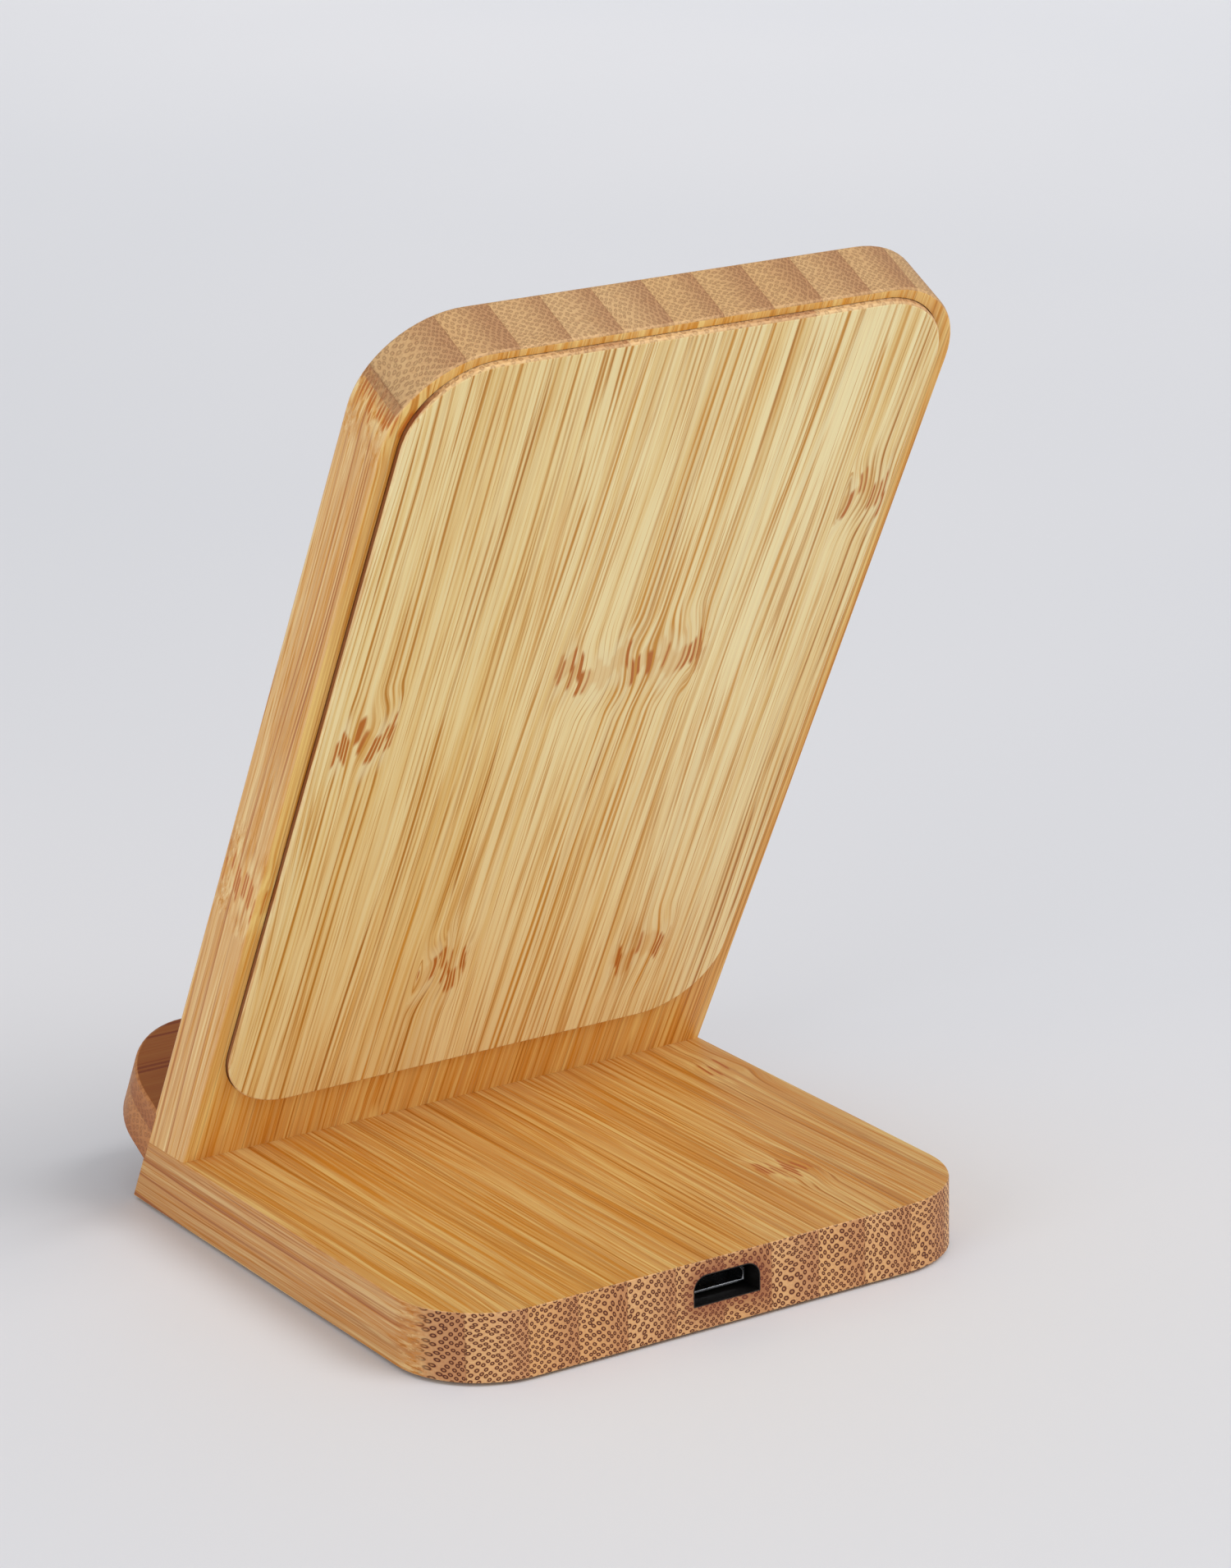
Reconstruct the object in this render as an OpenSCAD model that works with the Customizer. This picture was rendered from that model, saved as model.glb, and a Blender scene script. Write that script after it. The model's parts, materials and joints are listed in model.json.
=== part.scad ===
// Bamboo phone stand with a wireless charger: a base board, a backrest board that leans back over
// it, a ledge that carries the phone, and the charger's electronics in pockets closed by covers.
// Millimetres. Z is up, the phone side faces -Y, and the origin is under the middle of the stand.

/* [Stand] */
// Width of the boards and of the ledge
stand_w = 70; // [68:1:84]
// Angle between the backrest and the vertical, in degrees
lean = 28.6; // [24:0.2:32]

/* [Base] */
// Depth of the base's top face, from the backrest's phone face to the rear edge
base_d = 66.4; // [62:0.2:80]
// Thickness of the base board
base_t = 8; // [8:0.5:11]
// Radius of the two rear corners of the base
base_r = 11; // [8:0.5:16]

/* [Backrest] */
// Length of the backrest's phone face, along its slope
back_l = 120; // [114:1:140]
// Thickness of the backrest board
back_t = 7.5; // [7.5:0.5:10]
// Radius of the two top corners of the backrest
back_r = 11; // [8:0.5:14]

/* [Rear cover] */
// Margin between the rear cover and the backrest's side edges
cover_side_gap = 2; // [1.5:0.1:4]
// Margin between the rear cover and the backrest's top edge
cover_top_gap = 1.2; // [1:0.1:4]
// Height of the cover's lower edge above the backrest's foot, along the rear face
cover_low_gap = 7.9; // [6:0.1:9]
// Corner radius of the rear cover
cover_r = 9.5; // [6:0.5:12]
// Thickness of the rear cover
cover_t = 1.85; // [1.7:0.05:2.4]
// How far the rear cover stands proud of the backrest
cover_proud = 0.75; // [0.6:0.05:1.2]

/* [Phone ledge] */
// Thickness of the ledge, along the backrest's slope
ledge_t = 8; // [7:0.5:12]
// How far the ledge stands out from the phone face
ledge_out = 12.6; // [10:0.2:18]
// How far the ledge reaches below the joint of the backrest and the base
ledge_drop = 3; // [2:0.5:4]
// Radius of the two outer corners of the ledge
ledge_r = 9.5; // [6:0.5:10]
// Depth of the housing in the boards that takes the root of the ledge
ledge_seat = 0.4; // [0.2:0.1:0.8]

/* [Charger] */
// Width of the slot for the plug, in the base's rear edge
slot_w = 8.4; // [8.2:0.1:9]
// Height of the slot for the plug
slot_h = 3.3; // [3:0.1:3.4]
// Depth of the socket's mouth behind the base's rear edge
socket_recess = 2.2; // [1:0.1:3]
// Outside diameter of each charging coil
coil_d = 43; // [38:1:43]
// Hole in the middle of each charging coil
coil_hole_d = 20; // [16:1:24]

/* [Feet] */
// Diameter of each rubber foot
foot_d = 7; // [6:0.5:7]
// How far the feet stand below the base board
foot_proud = 0.4; // [0.3:0.1:1]

/* [Hidden] */
$fn = 96;
eps = 0.01;
big = 400;

// The base board, and where the backrest's phone face meets its top plane
base_z = foot_proud;
base_top_z = base_z + base_t;
ledge_low_y = -ledge_drop * sin(lean) - ledge_out * cos(lean);
front_y = -(base_d + ledge_low_y) / 2;
rear_y = front_y + base_d;
front_overhang = base_t * tan(lean);

// The backrest in its own frame: X across, Y up the slope, Z out of the phone face
foot_rise = back_t * tan(lean);
skin_t = 2.2;
pocket_r = 4;
coil_pocket_w = 50;
coil_pocket_low = 15;
coil_pocket_high = back_l - 11;
ledge_top = ledge_t - ledge_drop;
rebate_t = cover_t - cover_proud;
cover_w = stand_w - 2 * cover_side_gap;
cover_low = foot_rise + cover_low_gap;
cover_high = back_l - cover_top_gap;
cover_fit = 0.1;

// The electronics pocket in the underside of the base
lid_t = 1.5;
lid_w = 49;
lid_front_y = front_y - 0.9;
lid_rear_y = rear_y - 2.4;
lid_r = 4;
lid_fit = 0.1;
base_pocket_w = 40;
base_pocket_front_y = front_y + 19;
base_pocket_rear_y = rear_y - 3.6;
base_pocket_top_z = base_z + 6;
passage_d = 4;
passage_depth = back_t / 2;
passage_drop = 1.6;
trench_w = 8;
trench_front_y = front_y + 0.6;

// The control board and the socket on it
board_t = 1;
board_w = 36;
board_l = 36;
board_z = base_z + 2.3;
board_top_z = board_z + board_t;
board_rear_y = base_pocket_rear_y - 0.3;
board_front_y = board_rear_y - board_l;
socket_w = 7.6;
socket_h = 2.5;
socket_l = 5.2;
socket_wall = 0.3;
socket_cut_w = 0.8;
socket_cut_h = 1;
socket_back_t = 0.4;
socket_block_l = 2;
socket_mid_z = board_top_z + socket_h / 2;
socket_front_y = rear_y - socket_recess;
slot_r = 1.6;
block_front_y = socket_front_y - socket_l + socket_back_t + socket_block_l;
tongue_w = 3.8;
tongue_t = 0.6;
tongue_low = 0.1;
tongue_recess = 0.9;
tongue_l = socket_front_y - tongue_recess - block_front_y;
contact_w = 0.3;
contact_t = 0.14;
contact_pitch = 0.65;
post_d = 5;

// The components, by their distance behind the board's front edge
chip_y = 15;
chip_size = [5, 5, 0.9];
transistor_x = 9.5;
transistor_size = [4.9, 3.9, 1.5];
capacitor_y = 6;
capacitor_pitch = 4;
capacitor_size = [1.8, 3.2, 1.7];
inductor_y = 24.5;
inductor_size = [5, 5, 2.2];
small_x = 4.6;
small_pitch = 2.4;
small_size = [1.3, 0.8, 0.8];

// The coils, with the sheets and pads behind them
coil_t = 1.3;
ferrite_t = 0.9;
ferrite_s = 44;
ferrite_low_gap = 3;
ferrite_high_gap = 1;
pad_s = ferrite_s - 5;
coil_z = -skin_t - 0.05;
ferrite_z = coil_z - coil_t;
pad_z = ferrite_z - ferrite_t;
pad_t = back_t - rebate_t + pad_z;
lower_coil_y = coil_pocket_low + ferrite_low_gap + ferrite_s / 2;
upper_coil_y = coil_pocket_high - ferrite_high_gap - ferrite_s / 2;
coil_mid_z = coil_z - coil_t / 2;
lead_d = 0.9;
lead_side_x = coil_pocket_w / 2 - 1.4;
lead_sides = 8;
lead_steps = 3;
face_normal = [0, -cos(lean), sin(lean)];

// Dowels and screws
back_dowel_d = 4;
back_dowel_x = 25;
back_dowel_l = 16;
back_dowel_drop = 5.5;
ledge_dowel_d = 3;
ledge_dowel_x = 20;
ledge_dowel_l = 13;
ledge_mid_y = ledge_top - ledge_t / 2;
lid_screw_x = 22;
lid_screw_d = 1.8;
lid_screw_head_d = 3.4;
lid_screw_head_t = 0.9;
lid_screw_l = 4.6;
lid_screw_inset = 3;
board_screw_d = 1.6;
board_screw_head_d = 3;
board_screw_head_t = 0.7;
board_screw_inset = 2.6;
cross_l = 1.7;
cross_w = 0.32;
cross_depth = 0.6;
foot_side_inset = 5.1;
foot_front_inset = 2.5;
foot_rear_inset = 12;
foot_recess = 0.7;

bamboo = [0.86, 0.67, 0.40];
bamboo_pale = [0.91, 0.78, 0.53];
dowel_wood = [0.80, 0.66, 0.46];
black_plastic = [0.07, 0.07, 0.08];
steel = [0.75, 0.76, 0.78];
copper = [0.80, 0.45, 0.22];

// ---- Outlines -------------------------------------------------------------------------------

// Rectangle with four round corners, centred across X, with its lower edge on Y = 0
module round_plate(w, l, r) {
    union() {
        translate([-w / 2, r]) square([w, l - 2 * r]);
        translate([-w / 2 + r, 0]) square([w - 2 * r, l]);
        for (x = [-w / 2 + r, w / 2 - r])
            for (y = [r, l - r])
                translate([x, y]) circle(r);
    }
}

// Rectangle with only its two far corners round, with its lower edge on Y = 0
module round_end_plate(w, l, r) {
    intersection() {
        translate([-w / 2, 0]) square([w, l]);
        union() {
            translate([-w / 2, 0]) square([w, l - r]);
            translate([-w / 2 + r, 0]) square([w - 2 * r, l]);
            for (x = [-w / 2 + r, w / 2 - r])
                translate([x, l - r]) circle(r);
        }
    }
}

// ---- Frames ---------------------------------------------------------------------------------

// Frame of the backrest: X across, Y up the slope from its foot, Z out of the phone face
module on_backrest() {
    translate([0, front_y, base_top_z]) rotate([90 - lean, 0, 0]) children();
}

// Everything above the base's top plane
module above_base() {
    translate([-big / 2, -big / 2, base_top_z]) cube(big);
}

// ---- Boards ---------------------------------------------------------------------------------

// Side profile of the base, with its front end in the plane of the phone face
module base_profile() {
    polygon([
        [front_y - front_overhang, base_z],
        [rear_y + 1, base_z],
        [rear_y + 1, base_top_z],
        [front_y, base_top_z]
    ]);
}

module base_blank() {
    intersection() {
        rotate([90, 0, 90]) linear_extrude(stand_w + 2, center = true) base_profile();
        translate([0, front_y - 10, base_z]) linear_extrude(base_t)
            round_end_plate(stand_w, base_d + 10, base_r);
    }
}

// Opening for the plug, through the base's rear edge into the electronics pocket
module slot_cut() {
    translate([0, rear_y + 1, socket_mid_z - slot_h / 2]) rotate([90, 0, 0])
        linear_extrude(rear_y - base_pocket_rear_y + 2) round_end_plate(slot_w, slot_h, slot_r);
}

// Drilled passage for the coil leads, down the middle of the backrest and into the base
module passage_cut() {
    on_backrest() translate([0, -passage_drop, -passage_depth]) rotate([-90, 0, 0])
        cylinder(d = passage_d, h = passage_drop + coil_pocket_low + 1);
}

module back_dowel_shapes() {
    on_backrest()
        for (x = [-back_dowel_x, back_dowel_x])
            translate([x, foot_rise / 2 - back_dowel_drop, -back_t / 2]) rotate([-90, 0, 0])
                cylinder(d = back_dowel_d, h = back_dowel_l);
}

module ledge_dowel_shapes() {
    on_backrest()
        for (x = [-ledge_dowel_x, ledge_dowel_x])
            translate([x, ledge_mid_y, -ledge_dowel_l / 2])
                cylinder(d = ledge_dowel_d, h = ledge_dowel_l);
}

// Root of the ledge, with a bevel along its upper edge that ends in the plane of the phone face
module ledge_root(w) {
    on_backrest() rotate([90, 0, 90]) linear_extrude(w, center = true)
        polygon([
            [-ledge_drop, 1],
            [-ledge_drop, -ledge_seat],
            [ledge_top - ledge_seat, -ledge_seat],
            [ledge_top, 0],
            [ledge_top, 1]
        ]);
}

// Places of the bottom cover's screws, with Z = 0 on the cover's outer face
module at_lid_screws() {
    for (x = [-lid_screw_x, lid_screw_x])
        for (y = [lid_front_y + lid_screw_inset, lid_rear_y - lid_screw_inset])
            translate([x, y, base_z]) children();
}

// Places of the feet, with Z = 0 on the base's underside
module at_feet() {
    for (x = [foot_side_inset - stand_w / 2, stand_w / 2 - foot_side_inset])
        for (y = [front_y + foot_front_inset, rear_y - foot_rear_inset])
            translate([x, y, base_z]) children();
}

// Places of the control board's screws, with Z = 0 on the underside of the board
module at_board_screws() {
    for (x = [board_screw_inset - board_w / 2, board_w / 2 - board_screw_inset])
        for (y = [board_front_y + board_screw_inset, board_rear_y - board_screw_inset])
            translate([x, y, board_z]) children();
}

module base_board() {
    color(bamboo) difference() {
        base_blank();
        // rebate for the bottom cover
        translate([0, lid_front_y - lid_fit, base_z - 1]) linear_extrude(lid_t + 1)
            round_plate(lid_w + 2 * lid_fit, lid_rear_y - lid_front_y + 2 * lid_fit,
                lid_r + lid_fit);
        // pocket for the control board, with four posts left standing for its screws
        difference() {
            translate([0, base_pocket_front_y, base_z + 1])
                linear_extrude(base_pocket_top_z - base_z - 1)
                    round_plate(base_pocket_w, base_pocket_rear_y - base_pocket_front_y, 3);
            at_board_screws() translate([0, 0, board_t]) cylinder(d = post_d, h = base_t);
        }
        at_board_screws() cylinder(d = board_screw_d, h = base_pocket_top_z - board_z);
        // trench from the pocket to the passage
        translate([-trench_w / 2, trench_front_y, base_z + 1])
            cube([trench_w, base_pocket_front_y - trench_front_y + 5, base_pocket_top_z - base_z - 1]);
        passage_cut();
        slot_cut();
        back_dowel_shapes();
        ledge_dowel_shapes();
        ledge_root(stand_w + 2);
        at_lid_screws() cylinder(d = lid_screw_d, h = lid_screw_l);
        at_feet() translate([0, 0, -1]) cylinder(d = foot_d, h = foot_recess + 1);
    }
}

module backrest_board() {
    color(bamboo) difference() {
        intersection() {
            on_backrest() translate([0, -5, -back_t]) linear_extrude(back_t)
                round_end_plate(stand_w, back_l + 5, back_r);
            above_base();
        }
        // rebate for the rear cover
        on_backrest() translate([0, cover_low - cover_fit, -back_t - 1]) linear_extrude(rebate_t + 1)
            round_plate(cover_w + 2 * cover_fit, cover_high - cover_low + 2 * cover_fit,
                cover_r + cover_fit);
        // pocket for the coils
        on_backrest() translate([0, coil_pocket_low, -back_t - 0.5]) linear_extrude(back_t + 0.5 - skin_t)
            round_plate(coil_pocket_w, coil_pocket_high - coil_pocket_low, pocket_r);
        passage_cut();
        back_dowel_shapes();
        ledge_dowel_shapes();
        ledge_root(stand_w + 2);
    }
}

module rear_cover() {
    color(bamboo_pale) on_backrest() translate([0, cover_low, -back_t - cover_proud])
        linear_extrude(cover_t) round_plate(cover_w, cover_high - cover_low, cover_r);
}

// Bar square to the phone face, flush with the sides of the boards, with its root in their housing
module phone_ledge() {
    color(bamboo) difference() {
        union() {
            on_backrest() translate([0, ledge_top, 0]) rotate([90, 0, 0])
                linear_extrude(ledge_t) round_end_plate(stand_w, ledge_out, ledge_r);
            ledge_root(stand_w);
        }
        ledge_dowel_shapes();
    }
}

module bottom_cover() {
    color(black_plastic) difference() {
        translate([0, lid_front_y, base_z]) linear_extrude(lid_t)
            round_plate(lid_w, lid_rear_y - lid_front_y, lid_r);
        at_lid_screws() translate([0, 0, -1]) cylinder(d = lid_screw_d, h = lid_t + 2);
        at_lid_screws() translate([0, 0, -eps]) screw_cone();
    }
}

// ---- Dowels, screws and feet ----------------------------------------------------------------

module backrest_dowels() {
    color(dowel_wood) back_dowel_shapes();
}

module ledge_dowels() {
    color(dowel_wood) ledge_dowel_shapes();
}

// Cross recess for a driver, in a head whose outer face is at a given height
module cross_recess(face_z) {
    for (a = [0, 90])
        rotate(a) translate([-cross_l / 2, -cross_w / 2, face_z - 1])
            cube([cross_l, cross_w, cross_depth + 1]);
}

// Countersunk head, widest on the outer face of the cover
module screw_cone() {
    cylinder(d1 = lid_screw_head_d, d2 = lid_screw_d, h = lid_screw_head_t);
}

module bottom_cover_screws() {
    color(steel) at_lid_screws() difference() {
        union() {
            translate([0, 0, -eps]) screw_cone();
            cylinder(d = lid_screw_d, h = lid_screw_l);
        }
        cross_recess(0);
    }
}

module rubber_feet() {
    color([0.16, 0.16, 0.17]) at_feet() translate([0, 0, -foot_proud])
        cylinder(d = foot_d, h = foot_proud + foot_recess);
}

// ---- Control board and socket ---------------------------------------------------------------

module control_board() {
    color([0.05, 0.30, 0.17]) difference() {
        translate([-board_w / 2, board_front_y, board_z]) cube([board_w, board_l, board_t]);
        at_board_screws() translate([0, 0, -1]) cylinder(d = board_screw_d + 0.4, h = board_t + 2);
    }
}

// Pan-head screws driven up through the board into the roof of the pocket
module board_screws() {
    color(steel) at_board_screws() difference() {
        union() {
            translate([0, 0, -board_screw_head_t])
                cylinder(d = board_screw_head_d, h = board_screw_head_t);
            cylinder(d = board_screw_d, h = base_pocket_top_z - board_z);
        }
        cross_recess(-board_screw_head_t);
    }
}

// Outline of the socket: a low rectangle whose upper corners are cut off
module socket_outline(inset) {
    half_w = socket_w / 2 - inset;
    half_h = socket_h / 2 - inset;
    polygon([
        [-half_w, -half_h],
        [half_w, -half_h],
        [half_w, half_h - socket_cut_h],
        [half_w - socket_cut_w, half_h],
        [-half_w + socket_cut_w, half_h],
        [-half_w, half_h - socket_cut_h]
    ]);
}

// Extrudes an outline along Y, from its mouth near the rear edge towards the board
module along_socket(from_y, l) {
    translate([0, from_y, socket_mid_z]) rotate([90, 0, 0]) linear_extrude(l) children();
}

module socket_shell() {
    color(steel) difference() {
        along_socket(socket_front_y, socket_l) socket_outline(0);
        along_socket(socket_front_y + 1, socket_l - socket_back_t + 1) socket_outline(socket_wall);
    }
}

module socket_tongue() {
    color(black_plastic) union() {
        along_socket(block_front_y, socket_block_l) socket_outline(socket_wall);
        along_socket(socket_front_y - tongue_recess, tongue_l + eps)
            translate([-tongue_w / 2, tongue_low]) square([tongue_w, tongue_t]);
    }
}

module socket_contacts() {
    color([0.85, 0.68, 0.30])
        for (i = [-2:2])
            along_socket(socket_front_y - tongue_recess - 0.3, tongue_l - 0.3)
                translate([i * contact_pitch - contact_w / 2, tongue_low - contact_t])
                    square([contact_w, contact_t]);
}

// Block on top of the control board, given by its middle and its size
module on_board(x, y, size) {
    translate([x - size[0] / 2, board_front_y + y - size[1] / 2, board_top_z]) cube(size);
}

module controller_chip() {
    color([0.09, 0.09, 0.10]) on_board(0, chip_y, chip_size);
}

// One on each side of the controller chip
module power_transistors() {
    color([0.10, 0.10, 0.11])
        for (x = [-transistor_x, transistor_x])
            on_board(x, chip_y + 1, transistor_size);
}

// A row of four near the front edge of the board
module resonant_capacitors() {
    color([0.72, 0.60, 0.44])
        for (i = [-1.5:1.5])
            on_board(i * capacitor_pitch, capacitor_y, capacitor_size);
}

module power_inductor() {
    color([0.25, 0.25, 0.26]) on_board(0, inductor_y, inductor_size);
}

// Three on each side of the controller chip
module small_capacitors() {
    color([0.75, 0.66, 0.52])
        for (i = [-1:1])
            for (x = [-small_x, small_x])
                on_board(x, chip_y + i * small_pitch, small_size);
}

// ---- Coils ----------------------------------------------------------------------------------

module coil_ring(y) {
    color(copper) on_backrest() translate([0, y, coil_z - coil_t]) difference() {
        cylinder(d = coil_d, h = coil_t);
        translate([0, 0, -1]) cylinder(d = coil_hole_d, h = coil_t + 2);
    }
}

module sheet_behind(y, z, t, s) {
    on_backrest() translate([-s / 2, y - s / 2, z - t]) cube([s, s, t]);
}

module lower_coil() {
    coil_ring(lower_coil_y);
}

module upper_coil() {
    coil_ring(upper_coil_y);
}

module lower_ferrite() {
    color([0.22, 0.22, 0.23]) sheet_behind(lower_coil_y, ferrite_z, ferrite_t, ferrite_s);
}

module upper_ferrite() {
    color([0.22, 0.22, 0.23]) sheet_behind(upper_coil_y, ferrite_z, ferrite_t, ferrite_s);
}

module lower_foam_pad() {
    color([0.9, 0.9, 0.88]) sheet_behind(lower_coil_y, pad_z, pad_t, pad_s);
}

module upper_foam_pad() {
    color([0.9, 0.9, 0.88]) sheet_behind(upper_coil_y, pad_z, pad_t, pad_s);
}

// ---- Coil leads -----------------------------------------------------------------------------

// Point on the smooth curve from b to c, whose neighbours are a and d
function curve_point(a, b, c, d, t) =
    b + (c - a) * t / 2 + (2 * a - 5 * b + 4 * c - d) * t * t / 2
        + (3 * b - a - 3 * c + d) * t * t * t / 2;

// Smooth curve through a route's points, with a few steps from each point to the next
function smooth_route(route) = [
    for (i = [0:len(route) - 2])
        for (k = [0:lead_steps - 1])
            curve_point(route[max(i - 1, 0)], route[i], route[i + 1],
                route[min(i + 2, len(route) - 1)], k / lead_steps),
    route[len(route) - 1]
];

function unit(v) = v / norm(v);

// Circle of points round a centre, square to a direction
function ring_points(centre, direction, r) =
    let (side = unit(cross(direction, face_normal)), up = cross(side, direction))
    [for (i = [0:lead_sides - 1])
        centre + r * cos(360 * i / lead_sides) * side + r * sin(360 * i / lead_sides) * up];

// Round wire along a route
module wire(route, d) {
    path = smooth_route(route);
    last = len(path) - 1;
    points = [
        for (i = [0:last])
            each ring_points(path[i], unit(path[min(i + 1, last)] - path[max(i - 1, 0)]), d / 2)
    ];
    walls = [
        for (i = [0:last - 1])
            for (j = [0:lead_sides - 1])
                let (a = i * lead_sides + j, b = i * lead_sides + (j + 1) % lead_sides)
                [b, a, a + lead_sides, b + lead_sides]
    ];
    first_cap = [for (j = [0:lead_sides - 1]) j];
    last_cap = [for (j = [lead_sides - 1:-1:0]) last * lead_sides + j];
    polyhedron(points, concat([first_cap], walls, [last_cap]));
}

// Point of the backrest's frame in the stand's frame
function in_backrest(x, y, z) = [
    x,
    front_y + y * sin(lean) - z * cos(lean),
    base_top_z + y * cos(lean) + z * sin(lean)
];

// Leads of the lower coil: from its lower rim, down the front half of the passage to the board
function lower_lead_route(side) = [
    in_backrest(side * 2, lower_coil_y - coil_d / 2 - 0.1, coil_mid_z),
    in_backrest(side * 1.5, lower_coil_y - coil_d / 2 - 1.8, coil_mid_z),
    in_backrest(side * 0.8, coil_pocket_low, -3),
    in_backrest(side * 0.75, 11, -3),
    in_backrest(side * 0.75, 5, -3),
    in_backrest(side * 0.75, -1, -3),
    [side * 0.75, front_y + 2.3, base_z + 4.4],
    [side * 0.8, front_y + 3.4, base_z + 3.2],
    [side * 0.9, front_y + 6, base_z + 2.8],
    [side * 1.2, front_y + 14, base_z + 2.8],
    [side * 1.8, board_front_y - 4, base_z + 3.4],
    [side * 2.2, board_front_y - 1, board_top_z + 0.6],
    [side * 2.2, board_front_y + 2, board_top_z + 0.46]
];

// Leads of the upper coil: down the sides of the pocket, then down the rear half of the passage
function upper_lead_route(side) = [
    in_backrest(side * coil_d * 0.36, upper_coil_y - coil_d * 0.36, coil_mid_z),
    in_backrest(side * 18.5, upper_coil_y - 18.8, coil_mid_z),
    in_backrest(side * 22, upper_coil_y - 23, coil_mid_z - 0.1),
    in_backrest(side * lead_side_x, upper_coil_y - 29, -3.4),
    in_backrest(side * lead_side_x, lower_coil_y + 8, -3.8),
    in_backrest(side * lead_side_x, lower_coil_y - 14, -3.9),
    in_backrest(side * lead_side_x, lower_coil_y - 20, -4),
    in_backrest(side * 22.2, coil_pocket_low + 1.9, -4.1),
    in_backrest(side * 18.5, coil_pocket_low + 1.2, -4.2),
    in_backrest(side * 6, coil_pocket_low + 1.2, -4.4),
    in_backrest(side * 1.7, coil_pocket_low + 0.8, -4.5),
    in_backrest(side * 0.8, coil_pocket_low - 1.2, -4.5),
    in_backrest(side * 0.75, 9, -4.5),
    in_backrest(side * 0.75, 4, -4.5),
    in_backrest(side * 0.75, -0.5, -4.5),
    [side * 0.9, front_y + 4.1, base_z + 4.5],
    [side * 1.6, front_y + 6.5, base_z + 4.1],
    [side * 2.6, front_y + 14, base_z + 4.2],
    [side * 3.1, base_pocket_front_y, base_z + 4.3],
    [side * 4.6, board_front_y - 2, board_top_z + 0.8],
    [side * 5, board_front_y + 2, board_top_z + 0.46]
];

module lower_coil_leads() {
    color(copper)
        for (side = [-1, 1])
            wire(lower_lead_route(side), lead_d);
}

module upper_coil_leads() {
    color(copper)
        for (side = [-1, 1])
            wire(upper_lead_route(side), lead_d);
}

base_board();
backrest_board();
rear_cover();
phone_ledge();
bottom_cover();
backrest_dowels();
ledge_dowels();
bottom_cover_screws();
rubber_feet();
control_board();
board_screws();
socket_shell();
socket_tongue();
socket_contacts();
controller_chip();
power_transistors();
resonant_capacitors();
power_inductor();
small_capacitors();
lower_coil();
upper_coil();
lower_ferrite();
upper_ferrite();
lower_foam_pad();
upper_foam_pad();
lower_coil_leads();
upper_coil_leads();
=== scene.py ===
"""Looks of a bamboo phone stand with a wireless charger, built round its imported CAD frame. Metres, Z up."""

import json
import math

import bmesh
import bpy
from mathutils import Matrix, Vector


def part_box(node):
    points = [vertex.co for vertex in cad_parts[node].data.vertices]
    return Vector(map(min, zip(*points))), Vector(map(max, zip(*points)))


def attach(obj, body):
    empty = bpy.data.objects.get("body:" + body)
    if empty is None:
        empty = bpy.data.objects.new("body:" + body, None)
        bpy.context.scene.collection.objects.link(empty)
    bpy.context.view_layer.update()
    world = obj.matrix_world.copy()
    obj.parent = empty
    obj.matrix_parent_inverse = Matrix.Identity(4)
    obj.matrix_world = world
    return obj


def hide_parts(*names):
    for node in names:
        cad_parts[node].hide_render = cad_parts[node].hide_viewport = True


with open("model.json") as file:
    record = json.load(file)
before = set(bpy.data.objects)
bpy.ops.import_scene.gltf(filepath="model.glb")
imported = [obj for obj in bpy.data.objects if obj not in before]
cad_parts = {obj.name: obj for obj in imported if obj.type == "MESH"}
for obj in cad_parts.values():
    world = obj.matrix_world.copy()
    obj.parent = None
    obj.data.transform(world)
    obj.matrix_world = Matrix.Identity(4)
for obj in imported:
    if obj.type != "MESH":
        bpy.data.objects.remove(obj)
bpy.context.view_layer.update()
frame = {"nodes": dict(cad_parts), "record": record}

MM = 0.001
NODES = frame["nodes"]
MOUNTS = {mount["name"]: mount for mount in frame["record"]["mounts"]}

# ---- Places, read from the frame ----------------------------------------------------------------

base_low, base_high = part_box("base_board")
phone_point = Vector(MOUNTS["phone_face"]["pos_m"])
phone_normal = Vector(MOUNTS["phone_face"]["axis"]).normalized()
slope = math.atan2(phone_normal.z, -phone_normal.y)
front_y = phone_point.y - (phone_point.z - base_high.z) * math.tan(slope)

# Frame of the base: X across, Y along its fibres, Z up, from the phone face at the base's top
ON_BASE = Matrix.Translation((0, front_y, base_high.z))
# Frame of the backrest: X across, Y up the slope, Z out of the phone face
ON_BACK = ON_BASE @ Matrix.Rotation(math.pi / 2 - slope, 4, "X")
# Frame of the ledge, whose fibres run across the stand: X up the slope, Y across, Z as the backrest's
ON_LEDGE = ON_BACK @ Matrix.Rotation(math.pi / 2, 4, "Z")


def box_in(node, place):
    """Lowest and highest corner of a CAD node in another frame."""
    to_local = place.inverted()
    points = [to_local @ v.co for v in NODES[node].data.vertices]
    low = Vector(min(p[i] for p in points) for i in range(3))
    high = Vector(max(p[i] for p in points) for i in range(3))
    return low, high


# ---- Mesh building ------------------------------------------------------------------------------

ARC_STEPS = 16
EASE_STEPS = 4
# Smallest length: the overlap of solids in a boolean, and the least radius of a corner
SKIN = 0.002 * MM


def rectangle(x0, x1, y0, y1, radii):
    """Points of a rectangle with its own radius at each corner, anticlockwise from the lower left."""
    corners = [
        (x0 + radii[0], y0 + radii[0], 180, radii[0]),
        (x1 - radii[1], y0 + radii[1], 270, radii[1]),
        (x1 - radii[2], y1 - radii[2], 0, radii[2]),
        (x0 + radii[3], y1 - radii[3], 90, radii[3]),
    ]
    points = []
    for x, y, start, r in corners:
        for step in range(ARC_STEPS + 1):
            a = math.radians(start + 90 * step / ARC_STEPS)
            points.append((x + r * math.cos(a), y + r * math.sin(a)))
    return points


def inset_rectangle(x0, x1, y0, y1, radii):
    """The same rectangle as a function of how far it is drawn in."""
    return lambda d: rectangle(x0 + d, x1 - d, y0 + d, y1 - d, [max(r - d, SKIN) for r in radii])


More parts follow.
